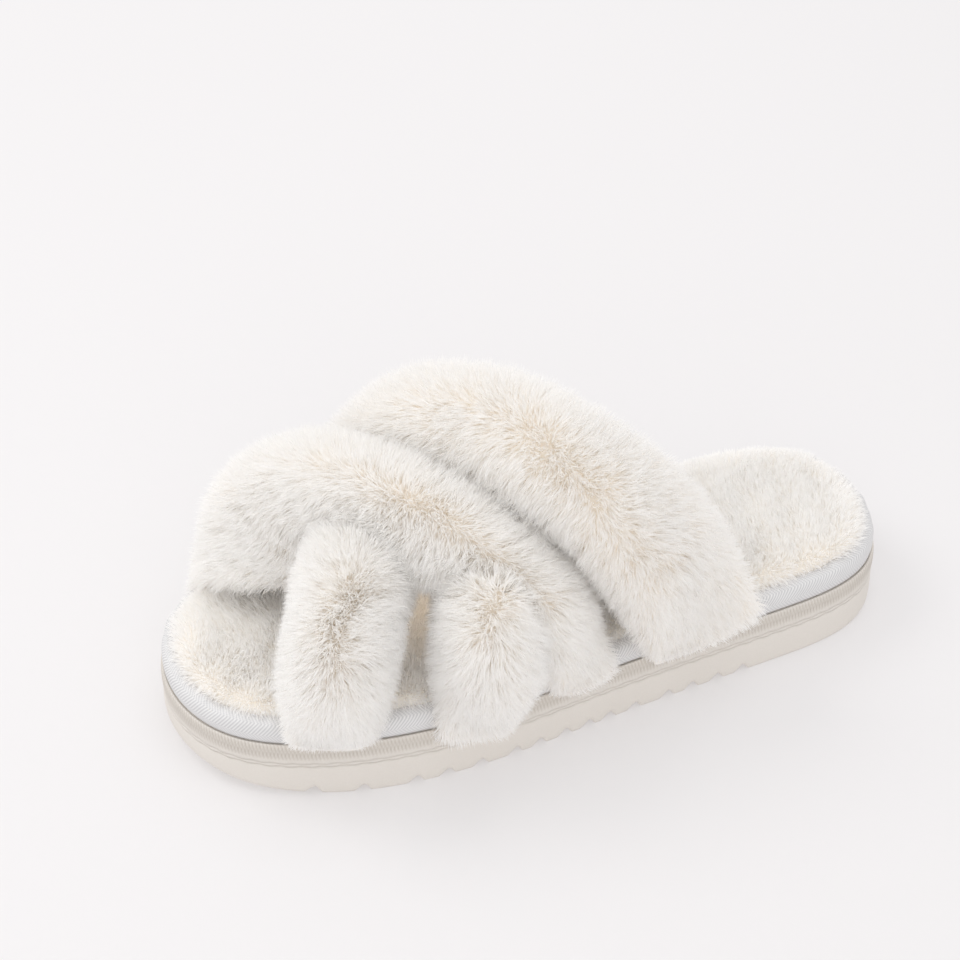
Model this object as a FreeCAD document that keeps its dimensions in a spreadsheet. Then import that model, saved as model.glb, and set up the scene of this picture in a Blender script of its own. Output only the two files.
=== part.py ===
import FreeCAD, Part
import math
import os

from FreeCAD import Matrix, Placement, Vector

# A left fluffy house slipper: a moulded foam-rubber outsole, a padded footbed bound with tape,
# and four fur tubes that cross over the instep.
# Frame: toe towards -Y, heel towards +Y, lateral side towards +X, floor at Z = 0, millimetres.

doc = FreeCAD.newDocument("house_slipper")
sizes = doc.addObject("Spreadsheet::Sheet", "sizes")

DIMENSIONS = {
    "sole_length": 260.0,
    "ball_width": 98.0,
    # outsole
    "seat_height": 23.0,
    "plateau_rise": 0.8,
    "groove_floor": 12.4,
    "groove_width": 1.6,
    "groove_depth": 1.2,
    "wall_draft": 0.4,
    "lug_height": 2.4,
    "lug_gap_radius": 3.2,
    "first_gap": -93.0,
    "toe_spring": 6.0,
    "toe_spring_run": 55.0,
    "heel_rise": 2.0,
    "heel_rise_run": 28.0,
    # footbed
    "tape_inset": 1.2,
    "tape_thickness": 0.8,
    "tape_lip": 5.0,
    "board_thickness": 1.8,
    "foam_thickness": 4.6,
    "plush_thickness": 4.2,
    "plush_gap": 0.1,
    # binding seam
    "stitch_pitch": 5.0,
    "stitch_length": 2.8,
    "stitch_width": 0.5,
    "stitch_inset": 4.4,
    # straps
    "strap_foot": 20.0,
    "strap_standoff": 4.6,
    "end_half_thickness": 4.0,
    "sleeve_wall": 1.6,
    "filling_gap": 0.2,
    "press_gap": 0.4,
    "tab_thickness": 1.5,
    "tab_margin": 4.5,
    "tab_reach": 24.0,
}

# Each strap: where its ends meet the sole's edge along Y, the height of its centreline's crest, how far it bows
# towards the heel in the middle and its half thickness away from the ends. Each group of five runs from the lateral
# to the medial end: half width, how far the section sits towards the heel, how far its outer face puffs out, and the
# angle by which its toe side droops round the foot.
STRAPS = {
    "front_under_strap": {
        "lateral_y": -89, "medial_y": -16, "crest": 68, "bow": -5, "half_depth": 9.5,
        "half": (11.5, 13, 14.5, 14, 13), "shift": (0, 0, 0, 0, 0), "puff": (0, 6, 0, 0, 0),
        "droop": (0, 0, 0, 0, 0)},
    "rear_under_strap": {
        "lateral_y": -40, "medial_y": 24, "crest": 70, "bow": 0, "half_depth": 9.5,
        "half": (12, 13.5, 15, 15, 15), "shift": (0, 0, 0, 0, 0), "puff": (0, 6, 0, 0, 0),
        "droop": (0, 0, 0, 0, 0)},
    "front_over_strap": {
        "lateral_y": -2, "medial_y": -93, "crest": 86, "bow": -5, "half_depth": 11,
        "half": (8, 11, 13.5, 15.5, 15.5), "shift": (1, 1.5, 0.5, -1, -1.5), "puff": (0, 0, 0, 0, 0),
        "droop": (0, 0, 8, 24, 6)},
    "rear_over_strap": {
        "lateral_y": 46, "medial_y": -48, "crest": 98, "bow": -9, "half_depth": 12,
        "half": (20, 17, 15.5, 17, 19), "shift": (0, 0, 0, 0, 0), "puff": (0, 0, 0, 0, 0),
        "droop": (0, 0, 4, 8, 0)},
}


def cell_values():
    """Every driving value with its alias: a group of five gets one cell each, numbered from the lateral end."""
    values = dict(DIMENSIONS)
    for strap, facts in STRAPS.items():
        for name, value in facts.items():
            if isinstance(value, tuple):
                for place, single in enumerate(value):
                    values["%s_%s_%d" % (strap, name, place)] = single
            else:
                values["%s_%s" % (strap, name)] = value
    return values


row = 0
for alias, value in cell_values().items():
    row += 1
    sizes.set("A%d" % row, alias)
    sizes.set("B%d" % row, str(value))
    sizes.setAlias("B%d" % row, alias)
doc.recompute()


def size(alias):
    return float(getattr(sizes, alias))


def bind(feature, prop, expression):
    feature.setExpression(prop, expression)
    return feature


# ---------------------------------------------------------------- sole outline

# The outline of a left sole seen from above, starting at the toe and going round by the lateral
# side: (across as a share of the ball width, along as a share of the length).
OUTLINE = [(-0.04, -0.500), (0.26, -0.458), (0.42, -0.360), (0.503, -0.200), (0.46, 0.050),
           (0.41, 0.300), (0.285, 0.460), (0.02, 0.500), (-0.27, 0.465), (-0.395, 0.290),
           (-0.375, 0.140), (-0.43, -0.040), (-0.50, -0.250), (-0.455, -0.385), (-0.315, -0.465)]


def closed_curve(points):
    curve = Part.BSplineCurve()
    curve.interpolate(Points=points, PeriodicFlag=True)
    return curve


def outline_curve(inset):
    """The sole outline, drawn in by inset along its own normal."""
    points = [Vector(across * size("ball_width"), along * size("sole_length"), 0) for across, along in OUTLINE]
    edge = closed_curve(points)
    if inset == 0:
        return edge
    moved = []
    for point in points:
        along = edge.tangent(edge.parameter(point))[0]
        inward = Vector(-along.y, along.x, 0)
        moved.append(point + inward * inset)
    return closed_curve(moved)


def outline_wire(name, inset):
    feature = doc.addObject("Part::Feature", name)
    feature.Shape = Part.Wire([outline_curve(inset).toShape()])
    return feature


def slab(name, wire, floor, height):
    """A flat slab with the outline of wire: its floor and height are cell expressions."""
    feature = doc.addObject("Part::Extrusion", name)
    feature.Base = wire
    feature.DirMode = "Custom"
    feature.Dir = Vector(0, 0, 1)
    feature.Solid = True
    bind(feature, "LengthFwd", height)
    bind(feature, "Placement.Base.z", floor)
    return feature


def cut(name, base, tool):
    feature = doc.addObject("Part::Cut", name)
    feature.Base = base
    feature.Tool = tool
    feature.Refine = False
    return feature


def fuse(name, shapes):
    feature = doc.addObject("Part::MultiFuse", name)
    feature.Shapes = shapes
    return feature


TAPE_INNER = size("tape_inset") + size("tape_thickness")
LIP_INNER = size("tape_inset") + size("tape_lip")

rand_wire = outline_wire("rand_outline", 0)
wall_wire = outline_wire("wall_outline", size("wall_draft"))
groove_wire = outline_wire("groove_outline", size("groove_depth"))
tape_wire = outline_wire("tape_outline", size("tape_inset"))
board_wire = outline_wire("board_outline", TAPE_INNER)
lip_wire = outline_wire("lip_outline", LIP_INNER)
plush_wire = outline_wire("plush_outline", LIP_INNER + size("plush_gap"))

# ---------------------------------------------------------------- straps


def smooth(share):
    share = min(max(share, 0.0), 1.0)
    return share * share * (3 - 2 * share)


EDGE = [outline_curve(0).value(knot) for knot in
        [outline_curve(0).LastParameter * step / 720 for step in range(720)]]


def edge_point(along, side):
    """The point of the sole's edge at this Y, on the lateral (+1) or medial (-1) side."""
    return min((point for point in EDGE if point.x * side > 0), key=lambda point: abs(point.y - along))


def edge_direction(along, side):
    """The direction of the sole's edge there, towards the heel."""
    reach = 8.0
    return (edge_point(along + reach, side) - edge_point(along - reach, side)).normalize()


SQUARENESS = 2.1     # exponent of the strap's arch: 2 is an ellipse, more is a squarer arch


def strap_centre(strap, turn):
    """The centreline: turn runs from 0 at the lateral end to 1 at the medial end."""
    lateral = edge_point(size(strap + "_lateral_y"), 1).x + size("strap_standoff")
    medial = edge_point(size(strap + "_medial_y"), -1).x - size("strap_standoff")
    middle = (lateral + medial) / 2
    angle = math.pi * turn
    cosine, sine = math.cos(angle), abs(math.sin(angle))
    across = middle + (lateral - middle) * math.copysign(abs(cosine) ** (2 / SQUARENESS), cosine)
    drift = 0.5 * (1 - cosine) / 2 + 0.5 * turn
    ends = size(strap + "_medial_y") - size(strap + "_lateral_y")
    along = size(strap + "_lateral_y") + ends * drift + size(strap + "_bow") * sine
    foot = size("strap_foot")
    return Vector(across, along, foot + (size(strap + "_crest") - foot) * sine ** (2 / SQUARENESS))


def strap_frame(strap, turn):
    """A placement whose X runs across the strap, Y through its thickness and Z along it."""
    step = 0.004
    ahead, behind = min(turn + step, 1.0), max(turn - step, 0.0)
    along = (strap_centre(strap, ahead) - strap_centre(strap, behind)).normalize()
    side = 1 if turn < 0.5 else -1
    end_y = size(strap + ("_lateral_y" if side > 0 else "_medial_y"))
    chord = strap_centre(strap, 1) - strap_centre(strap, 0)
    square = Vector(-chord.y, chord.x, 0).normalize()
    if square.y < 0:
        square = square * -1
    share = math.sin(math.pi * turn)
    across = edge_direction(end_y, side) * (1 - share) + square * share
    across = (across - along * across.dot(along)).normalize()
    through = along.cross(across)
    centre = strap_centre(strap, turn)
    return Placement(Matrix(across.x, through.x, along.x, centre.x,
                            across.y, through.y, along.y, centre.y,
                            across.z, through.z, along.z, centre.z, 0, 0, 0, 1))


def profile(strap, name, turn):
    """A value that is given at five even places along the strap, eased between them."""
    place = turn * 4
    before = min(int(place), 3)
    share = smooth(place - before)
    near, far = (size("%s_%s_%d" % (strap, name, before + step)) for step in (0, 1))
    return near * (1 - share) + far * share


def half_depth(strap, turn):
    away = smooth((min(turn, 1 - turn) - 0.06) / 0.14)
    return size("end_half_thickness") * (1 - away) + size(strap + "_half_depth") * away


ROUNDEST = 0.96       # a section's thickness is never more than this share of its width


def oval_section(name, strap, turn, growth, reach):
    """A closed oval of four arcs, grown all round, and moved on along the strap by reach."""
    half, puff = profile(strap, "half", turn), profile(strap, "puff", turn)
    deep = min(half_depth(strap, turn) + puff / 2, half * ROUNDEST)
    oval = Part.Ellipse(Vector(0, 0, 0), half + growth, deep + growth)
    quarter = math.pi / 2
    section = doc.addObject("Part::Feature", name)
    section.Shape = Part.Wire([Part.Edge(oval, side * quarter, (side + 1) * quarter) for side in range(4)])
    moved = Vector(profile(strap, "shift", turn), -puff / 2, reach)
    drooped = FreeCAD.Rotation(Vector(0, 0, 1), -profile(strap, "droop", turn))
    section.Placement = strap_frame(strap, turn) * Placement(moved, drooped)
    return section


TURNS = [0, 0.06, 0.12, 0.2, 0.3, 0.4, 0.5, 0.6, 0.7, 0.8, 0.88, 0.94, 1]


def strap_loft(strap, part, growth=0.0, reach=0.0):
    """A tube along the strap, grown all round, whose two ends run on by reach."""
    sections = []
    for number, turn in enumerate(TURNS):
        onward = {0: -reach, 1: reach}.get(turn, 0.0)
        sections.append(oval_section("%s_%s_section_%d" % (strap, part, number), strap, turn, growth, onward))
    loft = doc.addObject("Part::Loft", "%s_%s" % (strap, part))
    loft.Sections = sections
    loft.Solid = True
    loft.Ruled = False
    return loft


# The upper straps press a dent into the lower ones where they cross.
PRESSED_BY = {
    "rear_over_strap": [],
    "front_over_strap": [],
    "rear_under_strap": ["front_over_strap"],
    "front_under_strap": ["front_over_strap", "rear_over_strap"],
}
WALL = size("sleeve_wall")
GAP = size("press_gap")
LOOSE = size("filling_gap")
OPEN_END = 1.0
SHORT_END = -1.0

straps = {}
for strap, pressing in PRESSED_BY.items():
    envelope = strap_loft(strap, "envelope")
    cavity = strap_loft(strap, "cavity", -WALL, OPEN_END)
    core = strap_loft(strap, "core", -WALL - LOOSE, SHORT_END)
    for other in pressing:
        envelope = cut("%s_envelope_under_%s" % (strap, other), envelope, straps[other]["clear"])
        cavity = cut("%s_cavity_under_%s" % (strap, other), cavity, straps[other]["clear_of_wall"])
        core = cut("%s_core_under_%s" % (strap, other), core, straps[other]["clear_of_cavity"])
    straps[strap] = {"envelope": envelope, "filling": core,
                     "fur": cut(strap + "_fur", envelope, cavity)}
    if "over" in strap:
        straps[strap]["clear"] = strap_loft(strap, "clear", GAP)
        straps[strap]["clear_of_wall"] = strap_loft(strap, "clear_of_wall", GAP + WALL)
        straps[strap]["clear_of_cavity"] = strap_loft(strap, "clear_of_cavity", GAP + WALL + LOOSE)


# Two flat tabs per strap run in from its ends, under the edge of the footbed.


def strap_tab(strap, end, side):
    """A flat strip square to the sole's edge, from inside the strap's end to tab_reach inwards."""
    along = size("%s_%s_y" % (strap, end))
    outward = edge_direction(along, side).cross(Vector(0, 0, 1)) * side
    width = "%s_half_%d" % (strap, 0 if side > 0 else 4)
    half = size(width) - size("tab_margin")
    tab = doc.addObject("Part::Box", "%s_%s_tab_blank" % (strap, end))
    bind(tab, "Length", "sizes.tab_reach + sizes.strap_standoff")
    bind(tab, "Width", "2 * (sizes.%s - sizes.tab_margin)" % width)
    bind(tab, "Height", "sizes.tab_thickness")
    tab.Placement = (Placement(edge_point(along, side), FreeCAD.Rotation(Vector(1, 0, 0), outward))
                     * Placement(Vector(-size("tab_reach"), -half, 0), FreeCAD.Rotation()))
    bind(tab, "Placement.Base.z", "sizes.seat_height - sizes.tab_thickness")
    return tab


tab_blanks = {}
for strap in STRAPS:
    tab_blanks[strap] = fuse(strap + "_tab_blanks", [strap_tab(strap, "lateral", 1),
                                                     strap_tab(strap, "medial", -1)])
    straps[strap]["tabs"] = cut(strap + "_tabs", tab_blanks[strap], straps[strap]["envelope"])

# ---------------------------------------------------------------- outsole

lower_wall = slab("lower_wall", wall_wire, "0", "sizes.groove_floor")
groove_core = slab("groove_core", groove_wire, "sizes.groove_floor", "sizes.groove_width")
rand = slab("rand", rand_wire, "sizes.groove_floor + sizes.groove_width",
            "sizes.seat_height - sizes.groove_floor - sizes.groove_width")
plateau = slab("plateau", plush_wire, "sizes.seat_height", "sizes.plateau_rise")
sole_blank = fuse("sole_blank", [lower_wall, groove_core, rand, plateau])


def rocker(name, end, side):
    """The wedge under the toe or heel: a block less a cylinder that is tangent to the floor."""
    block = doc.addObject("Part::Box", name + "_block")
    bind(block, "Length", "sizes.ball_width + 40")
    bind(block, "Width", "sizes.%s_run + 20" % end)
    bind(block, "Height", "sizes.%s + 6" % end)
    bind(block, "Placement.Base.x", "-(sizes.ball_width + 40) / 2")
    bind(block, "Placement.Base.z", "-4")
    tangent = "(sizes.sole_length / 2 - sizes.%s_run)" % end
    bind(block, "Placement.Base.y", tangent if side > 0 else "-%s - sizes.%s_run - 20" % (tangent, end))
    roll = doc.addObject("Part::Cylinder", name + "_roll")
    radius = "(sizes.{0}_run ^ 2 + sizes.{0} ^ 2) / (2 * sizes.{0})".format(end)
    bind(roll, "Radius", radius)
    bind(roll, "Height", "sizes.ball_width + 60")
    roll.Placement = Placement(Vector(0, 0, 0), FreeCAD.Rotation(Vector(0, 1, 0), 90))
    bind(roll, "Placement.Base.x", "-(sizes.ball_width + 60) / 2")
    bind(roll, "Placement.Base.y", tangent if side > 0 else "-" + tangent)
    bind(roll, "Placement.Base.z", radius)
    return cut(name, block, roll)


# The tread's gaps across the sole, from the ball to the heel: each number is the step to the next gap.
GAP_STEPS = (16, 18, 11, 12, 13, 9, 10, 9, 8, 10, 13, 9.5, 10, 10)


def lug_gap(number):
    """One rounded gap across the tread."""
    gap = doc.addObject("Part::Cylinder", "lug_gap_%d" % number)
    bind(gap, "Radius", "sizes.lug_gap_radius")
    bind(gap, "Height", "sizes.ball_width + 40")
    gap.Placement = Placement(Vector(0, 0, 0), FreeCAD.Rotation(Vector(0, 1, 0), 90))
    bind(gap, "Placement.Base.x", "-(sizes.ball_width + 40) / 2")
    bind(gap, "Placement.Base.y", "sizes.first_gap + %g" % sum(GAP_STEPS[:number]))
    bind(gap, "Placement.Base.z", "sizes.lug_height - sizes.lug_gap_radius")
    return gap


gaps = fuse("lug_gaps", [lug_gap(number) for number in range(len(GAP_STEPS) + 1)])
pockets = fuse("tab_pockets", list(tab_blanks.values()))
sole_cutters = fuse("sole_cutters", [rocker("toe_rocker", "toe_spring", -1),
                                     rocker("heel_rocker", "heel_rise", 1), gaps])
outsole = cut("outsole", cut("sole_with_tread", sole_blank, sole_cutters), pockets)

# ---------------------------------------------------------------- footbed

BOARD_FLOOR = "sizes.seat_height + sizes.plateau_rise"
FOAM_FLOOR = BOARD_FLOOR + " + sizes.board_thickness"
FOAM_TOP = FOAM_FLOOR + " + sizes.foam_thickness"

insole_board = slab("insole_board", board_wire, BOARD_FLOOR, "sizes.board_thickness")
footbed_foam = slab("footbed_foam", board_wire, FOAM_FLOOR, "sizes.foam_thickness")
footbed_plush = slab("footbed_plush", plush_wire, FOAM_TOP, "sizes.plush_thickness")

tape_block = slab("tape_block", tape_wire, "sizes.seat_height",
                  "sizes.plateau_rise + sizes.board_thickness + sizes.foam_thickness + sizes.tape_thickness")
tape_filling = slab("tape_filling", board_wire, BOARD_FLOOR,
                    "sizes.board_thickness + sizes.foam_thickness")
tape_window = slab("tape_window", lip_wire, "sizes.seat_height - 1",
                   "sizes.plateau_rise + sizes.board_thickness + sizes.foam_thickness + 3")
binding_tape = cut("binding_tape", cut("tape_channel", tape_block, tape_filling), tape_window)


def binding_seam():
    """Short straight stitches along the tape's upper lip, one pitch apart."""
    seam = outline_curve(size("stitch_inset"))
    length = seam.length()
    count = int(length / size("stitch_pitch"))
    top = sum(size(part) for part in ("seat_height", "plateau_rise", "board_thickness",
                                      "foam_thickness", "tape_thickness"))
    stitches = []
    for number in range(count):
        where = seam.parameterAtDistance(length * number / count)
        along = seam.tangent(where)[0]
        stitch = Part.makeBox(size("stitch_length"), size("stitch_width"), size("stitch_width"),
                              Vector(-size("stitch_length") / 2, -size("stitch_width") / 2, 0))
        turn = FreeCAD.Rotation(Vector(1, 0, 0), along)
        stitch.Placement = Placement(seam.value(where) + Vector(0, 0, top), turn)
        stitches.append(stitch)
    return Part.makeCompound(stitches)


binding_stitches = doc.addObject("Part::Feature", "binding_stitches")
binding_stitches.Shape = binding_seam()

# ---------------------------------------------------------------- write the sub-parts

nodes = {
    "outsole": outsole,
    "insole_board": insole_board,
    "footbed_foam": footbed_foam,
    "footbed_plush": footbed_plush,
    "binding_tape": binding_tape,
    "binding_stitches": binding_stitches,
}
for strap, pieces in straps.items():
    nodes[strap + "_fur"] = pieces["fur"]
    nodes[strap + "_filling"] = pieces["filling"]
    nodes[strap + "_tabs"] = pieces["tabs"]

doc.recompute()
for feature in doc.Objects:
    if "Invalid" in feature.State or "Error" in feature.State:
        raise RuntimeError("%s failed: %s" % (feature.Name, feature.State))
for name, feature in nodes.items():
    feature.Label = name
    shape = feature.Shape
    if shape.isNull() or not shape.isValid() or shape.Volume <= 0:
        raise RuntimeError("%s has no valid shape" % name)
    box = shape.BoundBox
    print("%-28s solids %3d  volume %9.1f  x %7.2f %7.2f  y %8.2f %8.2f  z %7.2f %7.2f" % (
        name, len(shape.Solids), shape.Volume, box.XMin, box.XMax, box.YMin, box.YMax, box.ZMin, box.ZMax))

os.makedirs("parts", exist_ok=True)
for name, feature in nodes.items():
    feature.Shape.exportStep("parts/%s.step" % name)
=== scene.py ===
"""A left fluffy house slipper around its CAD frame: moulded sole, taped plush footbed and four crossed straps.

Shapes are worked out in millimetres, in the CAD's own frame (toe -Y, heel +Y, lateral +X, floor Z = 0), and
written to the meshes in metres. The fur is real geometry: tapered strands that grow from the footbed and from
each strap's sleeve.
"""
import math

import bpy
import numpy as np
from mathutils import Matrix, Vector, kdtree


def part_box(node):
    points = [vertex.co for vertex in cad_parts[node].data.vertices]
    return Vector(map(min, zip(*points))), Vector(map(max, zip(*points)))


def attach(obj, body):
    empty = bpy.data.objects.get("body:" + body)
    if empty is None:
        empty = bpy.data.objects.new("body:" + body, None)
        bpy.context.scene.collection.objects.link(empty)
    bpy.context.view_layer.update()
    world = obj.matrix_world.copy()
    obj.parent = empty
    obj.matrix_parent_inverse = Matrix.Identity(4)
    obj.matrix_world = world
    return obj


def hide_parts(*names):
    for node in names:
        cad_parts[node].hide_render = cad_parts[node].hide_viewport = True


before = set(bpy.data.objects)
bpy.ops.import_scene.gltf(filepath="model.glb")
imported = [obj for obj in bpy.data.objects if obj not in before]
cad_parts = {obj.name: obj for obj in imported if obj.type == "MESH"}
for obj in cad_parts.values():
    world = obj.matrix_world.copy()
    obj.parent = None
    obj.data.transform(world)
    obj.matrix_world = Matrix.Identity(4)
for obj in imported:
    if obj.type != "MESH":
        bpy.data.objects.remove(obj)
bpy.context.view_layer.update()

MM = 0.001
SEED = 20

# ---------------------------------------------------------------- driving dimensions, as in the CAD model

SOLE_LOW, SOLE_HIGH = (np.array(corner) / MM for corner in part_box("outsole"))
SOLE_LENGTH = SOLE_HIGH[1] - SOLE_LOW[1]
BALL_WIDTH = 98.0
SEAT = 23.0
OUTLINE = [(-0.04, -0.500), (0.26, -0.458), (0.42, -0.360), (0.503, -0.200), (0.46, 0.050),
           (0.41, 0.300), (0.285, 0.460), (0.02, 0.500), (-0.27, 0.465), (-0.395, 0.290),
           (-0.375, 0.140), (-0.43, -0.040), (-0.50, -0.250), (-0.455, -0.385), (-0.315, -0.465)]
TOE_SPRING, TOE_RUN = 6.0, 55.0
HEEL_RISE, HEEL_RUN = 2.0, 28.0
TAPE_TOP = SEAT + 8.0
STANDOFF = 1.6       # from the sole's edge out to each strap end
SQUARENESS = 2.1     # exponent of the straps' arch

# The straps: the Y where the lateral and the medial end meet the sole's edge, the crest's height, the bow
# towards the heel, half thickness, the height of each end above the floor, the lateral hem that the pile hangs
# to, and the straps that lie on top. Each list of five runs from the lateral to the medial end: half widths on
# the toe and heel sides, how far the outer face puffs out, and how far the toe side droops round the foot.
STRAPS = {
    "front_under_strap": dict(
        ends=(-89, -16), crest=68, bow=-5, depth=9.5, feet=(25, 24), hem=30.0,
        toe_half=(11.5, 13, 14.5, 14, 13), heel_half=(11.5, 12, 13.5, 14, 13), puff=(0, 10, 3, 0, 0),
        droop=(0, 0, 0, 0, 0), pressed_by=("front_over_strap", "rear_over_strap")),
    "rear_under_strap": dict(
        ends=(-40, 24), crest=70, bow=0, depth=9.5, feet=(22, 24), hem=17.0,
        toe_half=(12, 15, 15, 15, 15), heel_half=(11, 12, 14, 15, 15), puff=(0, 12, 4, 0, 0),
        droop=(0, 0, 0, 0, 0), pressed_by=("front_over_strap",)),
    "front_over_strap": dict(
        ends=(-2, -93), crest=84, bow=-5, depth=11, feet=(25, 24), hem=28.0,
        toe_half=(7, 8, 14.5, 19, 17.5), heel_half=(12.5, 14.5, 13.5, 14, 14), puff=(0, 0, 0, 0, 0),
        droop=(0, 0, 14, 22, 6), pressed_by=()),
    "rear_over_strap": dict(
        ends=(46, -48), crest=98, bow=-9, depth=12, feet=(26, 24), hem=27.5,
        toe_half=(18.5, 18, 15.5, 17, 19), heel_half=(21, 20.5, 15.5, 17, 19), puff=(0, 0, 0, 0, 0),
        droop=(0, 0, 3, 5, 0), pressed_by=()),
}


def smooth(share):
    """Eases a share from 0 to 1 with a level start and end."""
    share = np.clip(share, 0.0, 1.0)
    return share * share * (3 - 2 * share)


def unit(vectors):
    """The vectors brought to length 1."""
    return vectors / np.maximum(np.linalg.norm(vectors, axis=-1, keepdims=True), 1e-9)


# ---------------------------------------------------------------- outline of the sole


def closed_spline(points, count):
    """count points spaced evenly along the smooth closed curve through points."""
    points = np.asarray(points, float)
    after, before = np.roll(points, -1, 0), np.roll(points, 1, 0)
    step = np.linalg.norm(after - points, axis=1)
    back = np.roll(step, 1)
    number = len(points)
    system = np.zeros((number, number))
    for i in range(number):
        system[i, i] = 2 * (back[i] + step[i])
        system[i, (i + 1) % number] += step[i]
        system[i, i - 1] += back[i]
    change = (after - points) / step[:, None] - (points - before) / back[:, None]
    bend = np.linalg.solve(system, 6 * change)
    share = np.linspace(0, 1, 200, endpoint=False)[:, None, None]
    reach = step[None, :, None]
    along = share * reach
    curve = (bend * (reach - along) ** 3 / (6 * reach) + np.roll(bend, -1, 0) * along ** 3 / (6 * reach)
             + (points / reach - bend * reach / 6) * (reach - along)
             + (after / reach - np.roll(bend, -1, 0) * reach / 6) * along)
    curve = curve.transpose(1, 0, 2).reshape(-1, 2)
    closed = np.vstack([curve, curve[:1]])
    length = np.concatenate([[0], np.cumsum(np.linalg.norm(np.diff(closed, axis=0), axis=1))])
    where = np.linspace(0, length[-1], count, endpoint=False)
    return np.stack([np.interp(where, length, closed[:, axis]) for axis in (0, 1)], 1), length[-1]


def outline(count):
    """Points, outward normals and distances along the sole's edge, and the edge's whole length."""
    points, length = closed_spline(np.array(OUTLINE) * (BALL_WIDTH, SOLE_LENGTH), count)
    along = unit(np.roll(points, -1, 0) - np.roll(points, 1, 0))
    return points, np.stack([along[:, 1], -along[:, 0]], 1), np.arange(count) / count * length, length


EDGE, EDGE_NORMAL, _, EDGE_LENGTH = outline(1440)


def edge_at(along, side):
    """The sole's edge at this Y, lateral (+1) or medial (-1): its point, and its direction to the heel."""
    there = np.where(EDGE[:, 0] * side > 0)[0]
    nearest = there[np.argmin(np.abs(EDGE[there, 1] - along))]
    direction = np.array([-EDGE_NORMAL[nearest, 1], EDGE_NORMAL[nearest, 0]]) * side
    return EDGE[nearest], direction


def inside_distance(points):
    """How far points lie inside the sole's outline, negative outside."""
    coarse = EDGE[::4]
    normals = EDGE_NORMAL[::4]
    result = np.empty(len(points))
    for start in range(0, len(points), 20000):
        part = points[start:start + 20000, None, :] - coarse[None]
        nearest = np.argmin((part ** 2).sum(2), 1)
        result[start:start + 20000] = -(part[np.arange(len(nearest)), nearest] * normals[nearest]).sum(1)
    return result


# ---------------------------------------------------------------- meshes


def make_mesh(name, points, faces, uv=None, painted_groove_shade=None):
    """An object from points in millimetres and faces that all have as many corners. uv holds a pair for each
    point, and the last argument how deep it lies in a groove of the relief, from 0 to 1: painted shade there."""
    mesh = bpy.data.meshes.new(name)
    faces = np.asarray(faces, np.int32)
    mesh.vertices.add(len(points))
    mesh.vertices.foreach_set("co", (np.asarray(points, np.float32) * MM).ravel())
    mesh.loops.add(faces.size)
    mesh.loops.foreach_set("vertex_index", faces.ravel())
    mesh.polygons.add(len(faces))
    mesh.polygons.foreach_set("loop_start", np.arange(0, faces.size, faces.shape[1], dtype=np.int32))
    mesh.update(calc_edges=True)
    mesh.validate()
    if uv is not None:
        corners = np.asarray(uv, np.float32)[faces.ravel()]
        mesh.uv_layers.new(name="OFBake").data.foreach_set("uv", corners.ravel())
    # Each point's share of the painted shade in the relief's grooves.
    if painted_groove_shade is not None:
        layer = mesh.attributes.new("painted_groove_shade", "FLOAT", "POINT")
        layer.data.foreach_set("value", np.asarray(painted_groove_shade, np.float32).ravel())
    mesh.polygons.foreach_set("use_smooth", np.ones(len(faces), bool))
    piece = bpy.data.objects.new(name, mesh)
    bpy.context.scene.collection.objects.link(piece)
    return piece


def grid_faces(rows, columns, closed=True):
    """Quads of a grid whose point (row, column) has the number row * columns + column. A closed grid's last
    column joins its first."""
    last = columns if closed else columns - 1
    here = np.repeat(np.arange(rows - 1), last) * columns
    column = np.tile(np.arange(last), rows - 1)
    after = (column + 1) % columns
    return np.stack([here + column, here + after, here + columns + after, here + columns + column], 1)


def finish_piece(piece, material, slot, *nodes):
    """Gives the piece its material and body, and lets it stand for the CAD nodes, if there are any. The slot
    is not used.
    """
    piece.data.materials.append(material)
    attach(piece, "root")
    if nodes:
        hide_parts(*nodes)


# ---------------------------------------------------------------- materials


class Nodes:
    """A material's node tree, with short calls to add and join nodes."""

    def __init__(self, name):
        self.material = bpy.data.materials.new(name)
        self.material.use_nodes = True
        self.tree = self.material.node_tree
        self.tree.nodes.clear()

    def add(self, kind, inputs=None, **settings):
        """A node of this kind. Each input is a value, or the socket that feeds it."""
        node = self.tree.nodes.new(kind)
        for key, value in settings.items():
            setattr(node, key, value)
        for key, value in (inputs or {}).items():
            if isinstance(value, bpy.types.NodeSocket):
                self.tree.links.new(value, node.inputs[key])
            else:
                node.inputs[key].default_value = value
        return node

    def ramp(self, factor, stops):
        """The colour at factor on a ramp through stops, each a position and a colour."""
        node = self.add("ShaderNodeValToRGB", {0: factor})
        while len(node.color_ramp.elements) < len(stops):
            node.color_ramp.elements.new(0.5)
        for element, (position, colour) in zip(node.color_ramp.elements, stops):
            element.position = position
            element.color = (*colour, 1)
        return node.outputs[0]

    def blend(self, factor, first, second, blend_type="MIX"):
        """The mix of two colours."""
        node = self.add("ShaderNodeMix", data_type="RGBA", blend_type=blend_type)
        for socket, value in ((node.inputs[0], factor), (node.inputs[6], first), (node.inputs[7], second)):
            if isinstance(value, bpy.types.NodeSocket):
                self.tree.links.new(value, socket)
            else:
                socket.default_value = value
        return node.outputs[2]

    def output(self, shader):
        """Ends the tree with this shader and returns the material."""
        self.add("ShaderNodeOutputMaterial", {"Surface": shader})
        return self.material


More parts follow.
